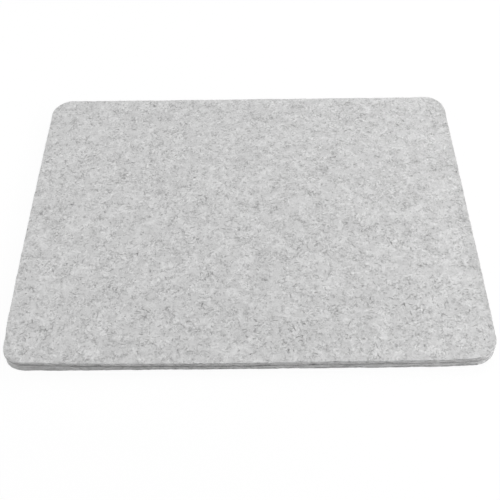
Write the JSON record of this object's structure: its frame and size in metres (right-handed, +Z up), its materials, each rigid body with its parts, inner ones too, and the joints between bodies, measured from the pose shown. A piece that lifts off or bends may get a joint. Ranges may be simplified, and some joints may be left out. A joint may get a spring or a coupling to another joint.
{
  "type": "wool pressing mat",
  "caption": "Flat rectangular ironing mat of pressed wool felt plies bonded face to face, with rounded corners, to press sewing work on a table.",
  "frame": {"origin": "centre of the face that the mat lies on", "axes": "+X along the long side, +Y along the short side away from the user, +Z up through the thickness to the pressing face"},
  "size_m": [0.432, 0.343, 0.0127],
  "materials": {
    "wool_felt": "matt heather-grey pressed wool felt",
    "adhesive_web": "dull melted adhesive web"
  },
  "bodies": {
    "root": {"lower_ply": "wool_felt", "bond_web": "adhesive_web", "upper_ply": "wool_felt"}
  },
  "joints": []
}
